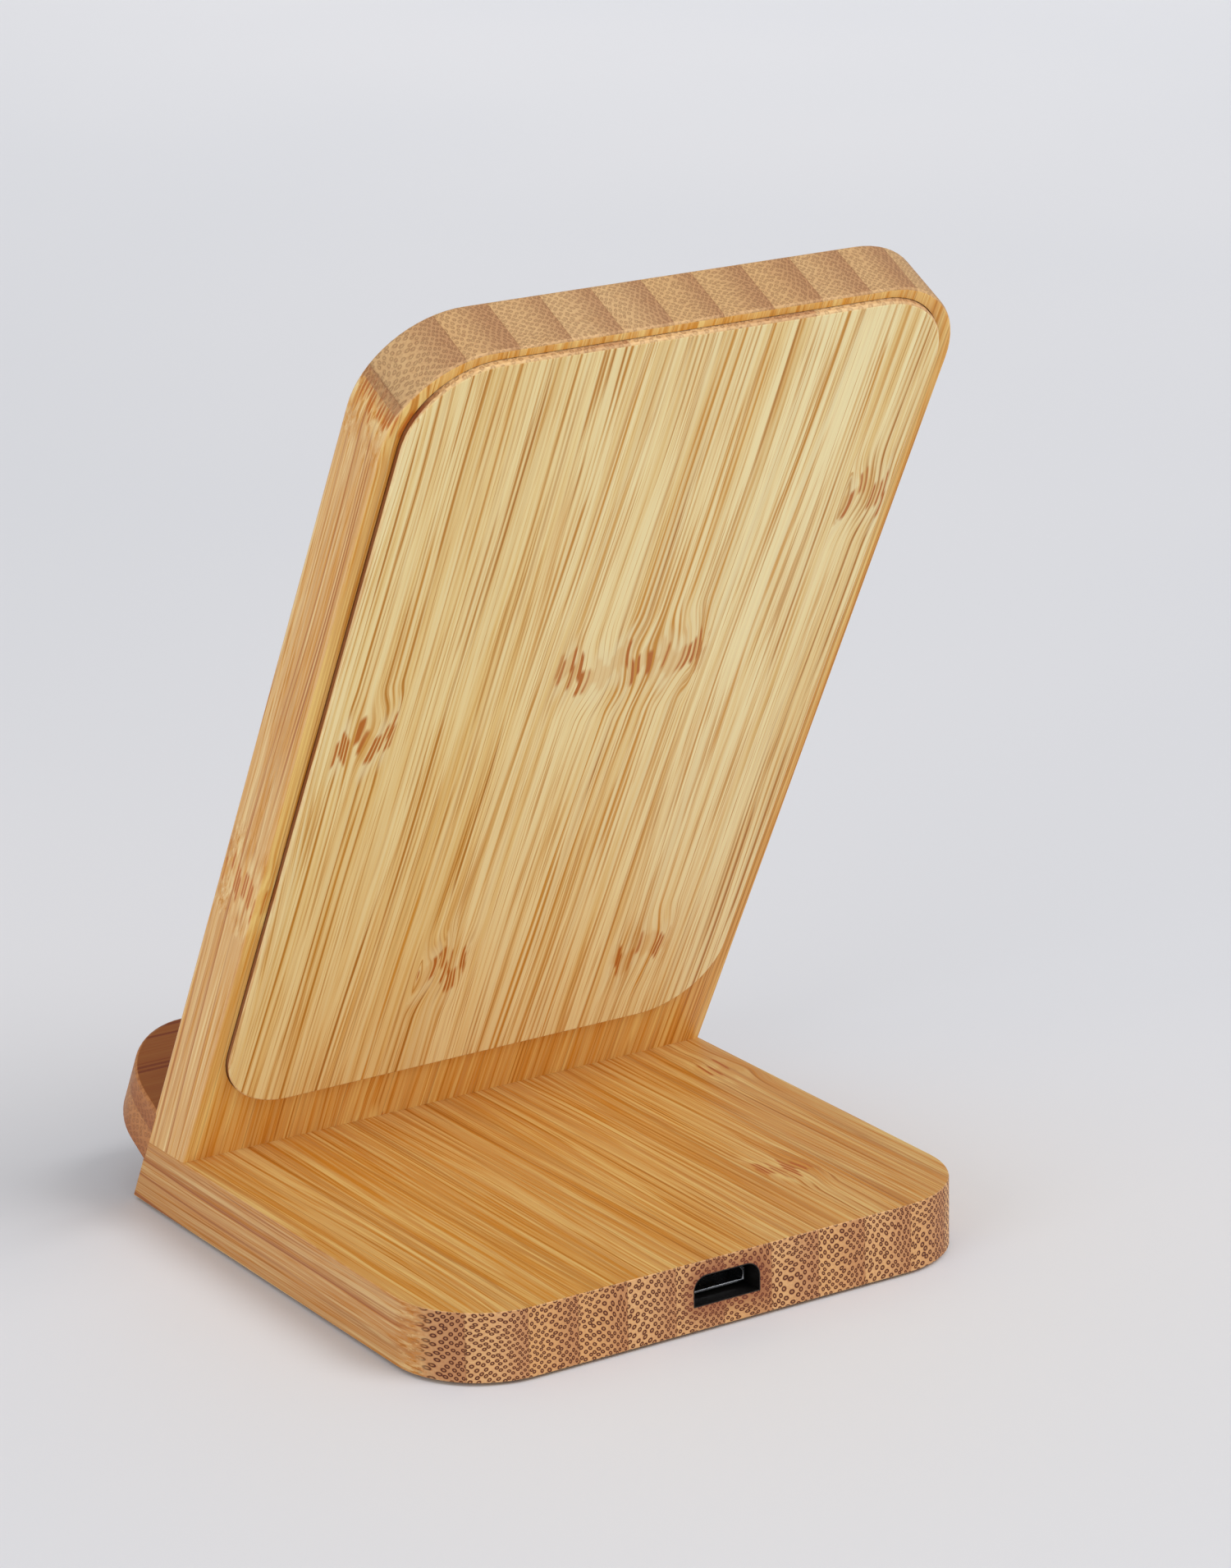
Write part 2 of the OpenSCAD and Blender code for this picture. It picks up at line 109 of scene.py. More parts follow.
def eased_rings(outline, z0, z1, low_ease, high_ease):
    """Rings of a plate between two heights whose lower and upper edges are rounded."""
    rings = []
    for step in range(EASE_STEPS + 1):
        a = math.pi / 2 * step / EASE_STEPS
        inset, z = low_ease * (1 - math.sin(a)), z0 + low_ease * (1 - math.cos(a))
        rings.append([Vector((x, y, z)) for x, y in outline(inset)])
    for step in range(EASE_STEPS + 1):
        a = math.pi / 2 * step / EASE_STEPS
        inset, z = high_ease * (1 - math.cos(a)), z1 - high_ease * (1 - math.sin(a))
        rings.append([Vector((x, y, z)) for x, y in outline(inset)])
    return rings


def loft(rings):
    """Closed mesh through rings of points, each with as many points as the first."""
    mesh = bmesh.new()
    loops = [[mesh.verts.new(p) for p in ring] for ring in rings]
    count = len(rings[0])
    for low, high in zip(loops, loops[1:]):
        for i in range(count):
            j = (i + 1) % count
            mesh.faces.new((low[i], low[j], high[j], high[i]))
    mesh.faces.new(reversed(loops[0]))
    mesh.faces.new(loops[-1])
    return mesh


def as_object(mesh, name, place=Matrix.Identity(4)):
    """New object from a mesh that was built in a local frame."""
    mesh.transform(place)
    mesh.normal_update()
    data = bpy.data.meshes.new(name)
    mesh.to_mesh(data)
    mesh.free()
    piece = bpy.data.objects.new(name, data)
    bpy.context.scene.collection.objects.link(piece)
    return piece


def joined(meshes):
    """One mesh from several."""
    whole = bmesh.new()
    for mesh in meshes:
        part = bpy.data.meshes.new("part")
        mesh.to_mesh(part)
        mesh.free()
        whole.from_mesh(part)
        bpy.data.meshes.remove(part)
    return whole


def welded_copy(node):
    """The CAD node's solid as a new object, with its split corners joined."""
    mesh = bmesh.new()
    mesh.from_mesh(NODES[node].data)
    bmesh.ops.remove_doubles(mesh, verts=mesh.verts, dist=SKIN / 10)
    return as_object(mesh, node + "_copy")


def keep_inside(piece, other):
    """Keeps only what the piece shares with another object, which is removed."""
    modifier = piece.modifiers.new("cut", "BOOLEAN")
    modifier.operation = "INTERSECT"
    modifier.solver = "EXACT"
    modifier.object = other
    bpy.context.view_layer.update()
    evaluated = piece.evaluated_get(bpy.context.evaluated_depsgraph_get())
    piece.data = bpy.data.meshes.new_from_object(evaluated)
    piece.modifiers.clear()
    bpy.data.objects.remove(other)


def finish_piece(piece, node, material, smooth_angle=35):
    """Shades a piece, gives it its material and puts it in the place of a CAD node."""
    mesh = bmesh.new()
    mesh.from_mesh(piece.data)
    for face in mesh.faces:
        face.smooth = True
    for edge in mesh.edges:
        edge.smooth = edge.calc_face_angle() < math.radians(smooth_angle)
    mesh.to_mesh(piece.data)
    mesh.free()
    weights = piece.modifiers.new("even_shading", "WEIGHTED_NORMAL")
    weights.keep_sharp = True
    piece.data.materials.clear()
    piece.data.materials.append(material)
    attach(piece, "root")
    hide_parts(node)


# ---- Material building --------------------------------------------------------------------------


def colour(red, green, blue):
    """Linear colour from the eight-bit values a screen shows."""
    def linear(value):
        share = value / 255
        return share / 12.92 if share <= 0.04045 else ((share + 0.055) / 1.055) ** 2.4
    return (linear(red), linear(green), linear(blue), 1)


class Graph:
    """Short names for the nodes of one material."""

    def __init__(self, name):
        self.material = bpy.data.materials.new(name)
        self.material.use_nodes = True
        self.tree = self.material.node_tree
        self.shader = self.tree.nodes["Principled BSDF"]

    def node(self, kind, inputs=(), **settings):
        made = self.tree.nodes.new("ShaderNode" + kind)
        for name, value in settings.items():
            setattr(made, name, value)
        for name, value in dict(inputs).items():
            self.put(made.inputs[name], value)
        return made

    def put(self, socket, value):
        if isinstance(value, bpy.types.NodeSocket):
            self.tree.links.new(value, socket)
        else:
            socket.default_value = value

    def math(self, operation, *values, clamp=False):
        return self.node("Math", enumerate(values), operation=operation, use_clamp=clamp).outputs[0]

    def plus(self, first, *others):
        for other in others:
            first = self.math("ADD", first, other)
        return first

    def times(self, first, *others):
        for other in others:
            first = self.math("MULTIPLY", first, other)
        return first

    def minus(self, first, second):
        return self.math("SUBTRACT", first, second)

    def apart(self, first, second):
        return self.math("ABSOLUTE", self.minus(first, second))

    def swing(self, chance, size):
        """A chance between 0 and 1 as a move to either side, as large as size from end to end."""
        return self.times(self.minus(chance, 0.5), size)

    def chances(self, colour_output):
        """The three values of a random colour."""
        return self.node("SeparateColor", {0: colour_output}).outputs

    def vector(self, operation, *values):
        made = self.node("VectorMath", enumerate(values), operation=operation)
        return made.outputs["Value" if operation in ("DOT_PRODUCT", "LENGTH") else "Vector"]

    def split(self, vector):
        return self.node("SeparateXYZ", {0: vector}).outputs[:3]

    def join(self, x, y, z=0.0):
        return self.node("CombineXYZ", {0: x, 1: y, 2: z}).outputs[0]

    def mix(self, share, first, second, blend="MIX"):
        made = self.node("Mix", data_type="RGBA", blend_type=blend)
        for name, value in (("Factor_Float", share), ("A_Color", first), ("B_Color", second)):
            self.put(next(s for s in made.inputs if s.identifier == name), value)
        return next(s for s in made.outputs if s.identifier == "Result_Color")

    def tint(self, base, tone, *masks):
        """The base with a tone over it, as strong as the product of the masks."""
        return self.mix(self.times(*masks), base, tone)

    def step(self, value, low, high):
        """0 below low, 1 above high and smooth between; falls instead where low is above high."""
        ends = (low, high, 0.0, 1.0) if low < high else (high, low, 1.0, 0.0)
        names = ("Value", "From Min", "From Max", "To Min", "To Max")
        return self.node("MapRange", zip(names, (value, *ends)), interpolation_type="SMOOTHSTEP").outputs[0]

    def noise(self, vector, detail=2.0, roughness=0.5):
        inputs = {"Vector": vector, "Scale": 1.0, "Detail": detail, "Roughness": roughness}
        return self.node("TexNoise", inputs).outputs

    def stretched(self, vector, x, y, z):
        return self.vector("MULTIPLY", vector, (x, y, z))

    def local(self, place):
        """Position in a local frame, in millimetres."""
        spot = self.node("TexCoord").outputs["Object"]
        turn = place.to_euler()
        mapping = {"Vector": spot, "Location": place.translation, "Rotation": turn, "Scale": (MM, MM, MM)}
        return self.node("Mapping", mapping, vector_type="TEXTURE").outputs[0]

    def facing(self, place, axis):
        """How far the surface faces along an axis of a local frame, from -1 to 1."""
        normal = self.node("NewGeometry").outputs["Normal"]
        return self.vector("DOT_PRODUCT", normal, (place.to_3x3() @ Vector(axis)).normalized())

    def bump(self, height, depth):
        """Relief of a given depth in metres."""
        made = self.node("Bump", {"Height": height, "Distance": depth, "Strength": 1.0})
        self.put(self.shader.inputs["Normal"], made.outputs[0])

    def finish(self, base, roughness, **constants):
        self.put(self.shader.inputs["Base Color"], base)
        self.put(self.shader.inputs["Roughness"], roughness)
        for name, value in constants.items():
            self.shader.inputs[name.replace("_", " ")].default_value = value
        return self.material


# ---- Bamboo -------------------------------------------------------------------------------------

PITH = colour(232, 186, 130)
AMBER = colour(212, 148, 56)
UMBER = colour(172, 108, 28)
PORE = colour(88, 36, 8)
KNOT = colour(186, 106, 34)
KNOT_PALE = colour(240, 220, 168)
GLUE = colour(150, 100, 56)
RUSSET = colour(176, 118, 80)
FLANK_LINE = colour(172, 104, 48)
BURNISH = colour(128, 60, 34)
SINGED_AND_SHADED = colour(128, 56, 4)
CHAR_AND_SHADE = colour(14, 11, 10)
WHITE = (1, 1, 1, 1)

# Half sizes of the plug's slot, in millimetres
SLOT_HALF_X = 4.2
SLOT_HALF_Z = 1.65


def within(g, x, mark):
    """1 across the width of a joint mark and 0 beside it."""
    middle_x, _, half_width = mark
    return g.step(g.apart(x, middle_x), half_width * 1.1, half_width * 0.9)


def kinks(g, x, along, marks):
    """How strongly the fibres bend round the joints of the stalk."""
    total = 0.0
    for mark in marks:
        near = g.step(g.apart(along, mark[1]), 8.0, 0.5)
        total = g.plus(total, g.times(near, within(g, x, mark)))
    return total


def joint_rows(g, x, along, marks):
    """Masks of the dark rows at the joints of the stalk and of the pale wood on both sides of them."""
    dark, pale = 0.0, 0.0
    for mark in marks:
        away = g.apart(along, mark[1])
        inside = within(g, x, mark)
        dark = g.plus(dark, g.times(g.step(away, 2.3, 1.3), inside))
        pale = g.plus(pale, g.times(g.step(away, 5.5, 2.6), inside))
    return dark, pale


def bundles(g, x, z, spacing, scatter):
    """Fibre bundles in the cross-section: distance from the nearest one, and its own three chances."""
    inputs = {"Vector": g.join(x, z), "Scale": 1 / spacing, "Randomness": scatter}
    cell = g.node("TexVoronoi", inputs, voronoi_dimensions="2D", feature="F1").outputs
    return cell["Distance"], g.chances(cell["Color"])


def strips(g, x, y, width, offset, seed):
    """Strips glued side by side: the strip's number, the place across it and its own three chances."""
    wobble = g.swing(g.noise(g.join(seed, g.times(y, 0.02)))["Fac"], 0.5)
    count = g.math("DIVIDE", g.minus(g.plus(x, wobble), offset), width)
    number = g.math("FLOOR", count)
    chance = g.node("TexWhiteNoise", {"W": g.plus(number, seed)}, noise_dimensions="1D").outputs
    return number, g.math("FRACT", count), g.chances(chance["Color"])


def background(g, spot, luck, tones):
    """Tone under the fibres: each strip has its own, with broad darker bands along it."""
    broad_band = g.noise(g.stretched(spot, 0.55, 0.012, 0.55))["Fac"]
    tone = g.mix(g.step(luck[0], 0.2, 0.8), tones[0], tones[1])
    tone = g.tint(tone, tones[2], g.step(luck[2], 0.55, 0.95), 0.7)
    return g.tint(tone, tones[3], g.step(broad_band, 0.45, 0.75), 0.5)


def flattened(g, x, z, turned):
    """Cross-section squeezed in the direction into the face, so that each bundle shows as a long line."""
    sideways = g.math("GREATER_THAN", turned, 0.5)
    return g.times(x, g.minus(1.0, g.times(sideways, 0.8))), g.times(z, g.plus(0.2, g.times(sideways, 0.8)))


def long_grain(g, tone, band_tone, bent, flat_x, flat_z, turned, kink, lines, fibres, bands):
    """Fibres seen lengthwise: colour, fine fibres, and the thin lines that the bundles draw in clusters."""
    fine = g.noise(g.stretched(bent, 3.4, 0.03, 3.4), 3.0, 0.65)["Fac"]
    band = g.noise(g.stretched(bent, 1.1, 0.012, 1.1), 2.0, 0.6)["Fac"]
    streak = g.noise(g.stretched(bent, 0.8, 0.009, 0.8), 2.0, 0.6)["Fac"]
    cluster = g.noise(g.stretched(bent, 0.36, 0.008, 0.36), 1.0)["Fac"]
    breaks = g.step(g.noise(g.stretched(bent, 1.5, 0.04, 1.5), 1.0)["Fac"], 0.36, 0.52)
    off_edges = g.plus(g.step(turned, 0.2, 0.02), g.step(turned, 0.8, 0.98))
    thread, own = bundles(g, flat_x, flat_z, 0.62, 1.0)
    strength = g.times(g.step(own[0], 0.0, 0.6), g.step(cluster, 0.34, 0.5))
    strength = g.times(strength, g.math("ADD", breaks, turned, clamp=True))
    strength = g.times(g.math("ADD", strength, g.times(kink, 0.7), clamp=True), off_edges)
    line = g.times(g.step(thread, 0.34, 0.15), strength)
    halo = g.times(g.step(thread, 0.6, 0.2), strength)
    grain = g.tint(tone, band_tone, g.step(band, 0.48, 0.68), fibres)
    grain = g.tint(grain, KNOT_PALE, g.step(streak, 0.53, 0.63), bands)
    grain = g.tint(grain, UMBER, g.step(streak, 0.46, 0.36), bands)
    grain = g.tint(grain, AMBER, g.step(fine, 0.5, 0.62), fibres)
    grain = g.tint(grain, UMBER, g.step(fine, 0.57, 0.68), fibres * 0.7)
    grain = g.tint(grain, KNOT_PALE, g.step(fine, 0.46, 0.36), fibres * 0.6)
    grain = g.tint(grain, AMBER, halo, lines * 0.4)
    line_tone = g.mix(turned, g.mix(own[1], AMBER, UMBER), FLANK_LINE)
    return g.tint(grain, line_tone, line, lines), fine, line


def stalk_joints(g, grain, x, along, flat_x, flat_z, marks):
    """Joints of the stalk: the fibres end in a row of short dashes and start again beside it."""
    gap, own = bundles(g, g.plus(flat_x, 31.0), flat_z, 0.6, 0.7)
    dark, pale = joint_rows(g, x, g.plus(along, g.swing(own[0], 3.5)), marks)
    grain = g.tint(grain, KNOT_PALE, pale, g.step(own[1], 0.3, 0.8), 0.6)
    grain = g.tint(grain, AMBER, dark, 0.3)
    return g.tint(grain, KNOT, dark, g.step(gap, 0.4, 0.27))


def end_grain(g, tone, spot, bent_x, bent_z, crowd, spacing, dots, tint):
    """Cut ends of the fibres, each bundle a dark ring round a pale eye: colour and mask of the rings."""
    slant_x = g.times(g.plus(bent_x, bent_z), math.sqrt(0.5))
    slant_z = g.times(g.minus(bent_z, bent_x), math.sqrt(0.5))
    gap, _ = bundles(g, slant_x, slant_z, spacing, 0.38)
    eye = g.times(g.step(gap, 0.21, 0.1), 0.75)
    ring = g.times(g.step(gap, 0.38, 0.3), g.minus(1.0, eye))
    pitted = g.noise(g.stretched(spot, 3.0, 3.0, 3.0), 3.0, 0.7)["Fac"]
    ends = g.mix(0.6, tone, PITH)
    ends = g.tint(ends, RUSSET, crowd, 0.6)
    ends = g.tint(ends, RUSSET, g.step(pitted, 0.4, 0.7), 0.35)
    ends = g.tint(ends, KNOT, g.step(gap, 0.5, 0.36), dots * 0.3)
    ends = g.tint(ends, PORE, ring, dots)
    return g.mix(1.0, ends, tint, "MULTIPLY"), ring


def burnt_and_shaded_slot(g, wood, x, y, z, cut, middle_z):
    """Slot cut with a hot tool, rounded above and square below: charred walls painted near black, partly as
    char and partly as painted shade inside the slot, and a burnished border.
    """
    above = g.math("MAXIMUM", g.minus(z, middle_z), 0.0)
    below = g.math("MAXIMUM", g.minus(middle_z - SLOT_HALF_Z, z), 0.0)
    beside = g.math("MAXIMUM", g.minus(g.math("ABSOLUTE", x), SLOT_HALF_X - SLOT_HALF_Z), 0.0)
    round_gap = g.math("MAXIMUM", g.minus(g.vector("LENGTH", g.join(beside, above)), SLOT_HALF_Z), 0.0)
    away = g.vector("LENGTH", g.join(round_gap, below))
    at_rear = g.step(y, 20.0, 30.0)
    wood = g.tint(wood, BURNISH, g.step(away, 2.6, 0.0), cut, at_rear, 0.6)
    # walls of the slot painted near black: partly char, partly painted shade inside the opening
    return g.tint(wood, CHAR_AND_SHADE, g.step(away, 0.2, 0.06), at_rear)


def bamboo(name, place, strip, offset, marks, tones, broad=WHITE, flank=WHITE, ends_tint=WHITE,
           spacing=0.8, crowding=0.4, dots=0.8, lines=0.75, fibres=0.4, bands=0.0, seam_depth=0.5,
           wear_and_highlight=0.15, rim=0.0, slot_z=None, seed=0.0):
    """Laminated bamboo with its fibres along Y of its place, in millimetres.

    The strips have a width and an offset. Each mark is a joint of the stalk, as x, y and half its width.
    The broad faces, the flanks and the ends are each multiplied by their own tint. The ends show bundles
    by their spacing, crowding and dots, and the other faces by lines, fine fibres and broad bands. The
    last values say how deep the glue lines are, how pale the eased edges are painted (partly rubbed pale
    with use, partly painted highlight), how dark the outer wall is painted (a little singeing, mostly
    painted shadow of the rebate gap on the sides), and at what height a slot was burnt through the rear end.
    """
    g = Graph(name)
    spot = g.local(place)
    x, y, z = g.split(spot)
    turned = g.step(g.math("ABSOLUTE", g.facing(place, (1, 0, 0))), 0.5, 0.9)
    cut = g.step(g.math("ABSOLUTE", g.facing(place, (0, 1, 0))), 0.25, 0.5)
    level = g.math("ABSOLUTE", g.facing(place, (0, 0, 1)))
    number, across, luck = strips(g, x, y, strip, offset, seed)
    tone = background(g, spot, luck, tones)

    # the bundles drift slowly, bend round a joint and crowd together towards one side of each strip
    shifted = g.vector("ADD", g.stretched(spot, 0.09, 0.012, 0.09), g.join(g.times(number, 7.31), seed))
    drift = g.chances(g.noise(shifted, 1.0)["Color"])
    along = g.plus(y, g.swing(g.noise(g.join(g.times(x, 0.22), seed))["Fac"], 9.0))
    kink = kinks(g, x, along, marks)
    lean = g.minus(g.noise(g.stretched(spot, 0.2, 0.06, 0.2), 0.0)["Fac"], 0.42)
    bend = g.times(kink, g.times(lean, 5.0))
    crowd = g.step(g.plus(across, g.swing(luck[1], 0.3)), 0.75, 0.0)
    crowded = g.times(crowd, across, strip * crowding)
    bent_x = g.plus(x, g.swing(drift[0], 3.2), bend, crowded)
    bent_z = g.plus(z, g.swing(drift[1], 6.0), g.times(number, 13.7))

    bent = g.join(bent_x, y, z)
    flat_x, flat_z = flattened(g, bent_x, bent_z, turned)
    grain, fine, line = long_grain(g, tone, tones[3], bent, flat_x, flat_z, turned, kink,
                                   lines, fibres, bands)
    grain = stalk_joints(g, grain, x, along, flat_x, flat_z, marks)
    grain = g.mix(1.0, grain, g.mix(turned, broad, flank), "MULTIPLY")
    ends, ring = end_grain(g, tone, spot, bent_x, bent_z, crowd, spacing, dots, ends_tint)
    wood = g.mix(cut, grain, ends)

    # glue lines, pale eased edges (partly rubbed pale with use, partly painted highlight), the dark outer
    # wall (a little singeing, mostly painted shadow) and the slot's marks of heat and painted shade
    seam = g.times(g.step(g.apart(across, 0.5), 0.484, 0.497), seam_depth)
    wood = g.mix(seam, wood, GLUE)
    patchy = g.step(g.noise(g.stretched(spot, 0.5, 0.5, 0.5), 3.0)["Fac"], 0.25, 0.7)
    # eased edges mixed towards pale pith: partly rubbed pale with use, partly a painted highlight where the
    # rounded edges catch light
    worn_and_lit = g.times(g.step(level, 0.1, 0.4), g.step(level, 0.98, 0.8), patchy)
    wood = g.tint(wood, PITH, worn_and_lit, wear_and_highlight)
    # outer wall painted dark brown: a little singeing all round and, on the sides facing across the stand, a
    # painted shadow of the rebate gap
    wall = g.times(g.step(level, 0.3, 0.1), g.plus(g.times(turned, 0.85), 0.15))
    wood = g.tint(wood, SINGED_AND_SHADED, wall, rim)
    if slot_z is not None:
        wood = burnt_and_shaded_slot(g, wood, x, y, z, cut, slot_z)

    # relief: lines, glue lines and most of all the rings are sunk
    height = g.minus(g.times(fine, 0.4), g.times(line, 0.3))
    height = g.minus(height, g.times(ring, cut, 1.5))
    height = g.minus(height, g.times(seam, 0.3))
    g.bump(height, 0.035 * MM)
    roughness = g.plus(g.times(fine, 0.2), g.times(cut, 0.16))
    roughness = g.plus(g.minus(roughness, g.times(worn_and_lit, 0.08)), 0.36)
    return g.finish(wood, roughness, Coat_Weight=0.06, Coat_Roughness=0.3, Specular_IOR_Level=0.35)


# ---- Wooden pieces ------------------------------------------------------------------------------

# Widths of the glued strips, in millimetres
BASE_STRIP = 6.18
BACK_STRIP = 6.13
COVER_STRIP = 23.0
TONES = (colour(222, 184, 130), colour(212, 168, 112), colour(216, 166, 96), colour(206, 154, 96))
CREAM_TONES = (colour(248, 228, 172), colour(246, 222, 162), colour(242, 215, 152), colour(228, 184, 104))
BOARD_RADIUS = 11 * MM
COVER_RADIUS = 9.5 * MM
LEDGE_RADIUS = 9.5 * MM
EDGE = 0.35 * MM
FINE_EDGE = 0.15 * MM
LEDGE_EDGE = 0.4 * MM


def lean_near_end(rings, middle_y, run):
    """Moves the near half of the points along Y, by a run for each unit of their height."""
    for ring in rings:
        for p in ring:
            if p.y < middle_y:
                p.y += p.z * run


def base_board():
    """Base board with eased edges; its front end lies in the plane of the phone face."""
    low, high = box_in("base_board", ON_BASE)
    outline = inset_rectangle(low.x - SKIN, high.x + SKIN, -SKIN, high.y + SKIN,
                              [EDGE, EDGE, BOARD_RADIUS, BOARD_RADIUS])
    rings = eased_rings(outline, low.z - SKIN, SKIN, FINE_EDGE, FINE_EDGE)
    lean_near_end(rings, high.y / 2, math.tan(slope))
    piece = as_object(loft(rings), "base_board_eased", ON_BASE)
    keep_inside(piece, welded_copy("base_board"))
    marks = [(-19.5, 49.5, 3.1), (-31.4, 19.0, 3.1)]
    slot_z = MOUNTS["usb_socket"]["pos_m"][2] - base_high.z
    material = bamboo("bamboo_base", ON_BASE, BASE_STRIP, 0.38, marks, TONES,
                      broad=(0.85, 0.76, 0.54, 1), flank=(0.91, 0.76, 0.6, 1),
                      ends_tint=(0.92, 0.83, 0.78, 1), spacing=0.66, dots=1.0, lines=1.0, fibres=1.0,
                      bands=0.5, seam_depth=0.35, wear_and_highlight=0.5, slot_z=slot_z / MM)
    finish_piece(piece, "base_board", material)


def backrest_board():
    """Backrest board with eased edges; its foot lies on the base's top plane."""
    low, high = box_in("backrest_board", ON_BACK)
    outline = inset_rectangle(low.x - SKIN, high.x + SKIN, -EDGE * 2, high.y + SKIN,
                              [FINE_EDGE, FINE_EDGE, BOARD_RADIUS, BOARD_RADIUS])
    rings = eased_rings(outline, low.z - SKIN, SKIN, EDGE, EDGE)
    lean_near_end(rings, high.y / 2, -math.tan(slope))
    piece = as_object(loft(rings), "backrest_board_eased", ON_BACK)
    keep_inside(piece, welded_copy("backrest_board"))
    marks = [(34.0, 44.4, 3.1), (34.0, 112.0, 3.1), (10.5, 1.0, 2.0), (-13.0, 86.0, 3.1), (15.5, 41.0, 3.1)]
    # the flank tint lightens the side faces, partly for the strips' own paler flank colour and partly as
    # painted light on the side facing away from the key light
    material = bamboo("bamboo_back", ON_BACK, BACK_STRIP, 2.95, marks, TONES,
                      broad=(1.14, 1.06, 0.69, 1), flank=(1.15, 1.1, 0.97, 1),
                      ends_tint=(0.86, 0.86, 0.86, 1), spacing=0.52, crowding=0.35, dots=0.25, lines=0.9,
                      fibres=0.8, bands=0.25, seam_depth=0.35, wear_and_highlight=0.5, seed=40.0)
    finish_piece(piece, "backrest_board", material)


def rear_cover():
    """Thin cover, flat-grain, with an eased outer rim."""
    low, high = box_in("rear_cover", ON_BACK)
    outline = inset_rectangle(low.x, high.x, low.y, high.y, [COVER_RADIUS] * 4)
    rings = eased_rings(outline, low.z, high.z, EDGE, FINE_EDGE)
    piece = as_object(loft(rings), "rear_cover_eased", ON_BACK)
    marks = [(-5.0, 72.0, 9.5), (27.3, 68.5, 3.6), (-20.5, 23.5, 4.0), (7.7, 28.0, 3.2), (-30.0, 91.0, 3.2)]
    material = bamboo("bamboo_cover", ON_BACK, COVER_STRIP, -14.6, marks, CREAM_TONES,
                      broad=(1.02, 1.05, 1.06, 1), crowding=0.0, dots=0.3, lines=1.0, fibres=0.6,
                      bands=0.12, seam_depth=0.0, wear_and_highlight=0.5, rim=0.9, seed=80.0)
    finish_piece(piece, "rear_cover", material)


def phone_ledge():
    """Ledge with eased edges; its fibres run across the stand."""
    low, high = box_in("phone_ledge", ON_BACK)

    def outline(inset):
        return rectangle(low.x + inset - SKIN, high.x - inset + SKIN, low.z - SKIN, high.z - inset + SKIN,
                         [SKIN * 2, SKIN * 2, LEDGE_RADIUS - inset, LEDGE_RADIUS - inset])

    rings = eased_rings(outline, low.y - SKIN, high.y + SKIN, LEDGE_EDGE, LEDGE_EDGE)
    standing = [[Vector((p.x, p.z, p.y)) for p in reversed(ring)] for ring in rings]
    piece = as_object(loft(standing), "phone_ledge_eased", ON_BACK)
    keep_inside(piece, welded_copy("phone_ledge"))
    # dark brown tint on the ledge's broad faces and flanks: painted shade, as its top lies in the backrest's
    # shadow
    dark = (0.42, 0.2, 0.06, 1)
    material = bamboo("bamboo_ledge", ON_LEDGE, BASE_STRIP, 1.9, [(1.0, 12.0, 3.0)], TONES,
                      broad=dark, flank=dark, ends_tint=(0.74, 0.5, 0.36, 1), dots=0.2, seed=120.0)
    finish_piece(piece, "phone_ledge", material)


base_board()
backrest_board()
rear_cover()
phone_ledge()

# ---- Other materials ----------------------------------------------------------------------------


def grainy(name, place, dark, light, grains, relief, roughness):
    """Stuff with a fine grain, in grains per millimetre: two tones, uneven gloss and perhaps a relief."""
    g = Graph(name)
    spot = g.local(place)
    small = g.noise(g.stretched(spot, *grains), 3.0, 0.6)["Fac"]
    broad = g.noise(g.stretched(spot, 0.15, 0.15, 0.15))["Fac"]
    base = g.mix(g.step(small, 0.35, 0.65), dark, light)
    base = g.tint(base, light, g.step(broad, 0.4, 0.7), 0.35)
    if relief:
        g.bump(small, relief * MM)
    return g, spot, base, g.plus(g.times(g.plus(small, broad), 0.12), roughness - 0.12)


def moulded_black():
    """Matt black plastic with a spark-eroded texture and pale scuffs."""
    g, spot, base, roughness = grainy("black_plastic", Matrix(), colour(20, 20, 22), colour(32, 32, 35),
                                      (4.0, 4.0, 4.0), 0.03, 0.5)
    scratch = g.noise(g.stretched(spot, 0.25, 2.6, 1.0), 4.0, 0.7)["Fac"]
    return g.finish(g.tint(base, colour(84, 84, 88), g.step(scratch, 0.62, 0.7), 0.3), roughness)


def rubber():
    """Matt rubber with dust on it."""
    g, spot, base, roughness = grainy("rubber", Matrix(), colour(26, 26, 27), colour(38, 38, 39),
                                      (3.0, 3.0, 3.0), 0.04, 0.85)
    dust = g.noise(g.stretched(spot, 0.9, 0.9, 0.9), 5.0, 0.7)["Fac"]
    return g.finish(g.tint(base, colour(120, 116, 110), g.step(dust, 0.5, 0.75), 0.35), roughness)


def metal(name, dark, light, grains, roughness):
    """Plated metal, faintly brushed."""
    g, _, base, gloss = grainy(name, Matrix(), dark, light, grains, 0.004, roughness)
    return g.finish(base, gloss, Metallic=1.0)


def socket_plastic():
    """Black plastic of the socket's tongue."""
    g, _, base, roughness = grainy("socket_plastic", Matrix(), colour(12, 12, 13), colour(22, 22, 24),
                                   (6.0, 1.0, 6.0), 0.01, 0.4)
    return g.finish(base, roughness)


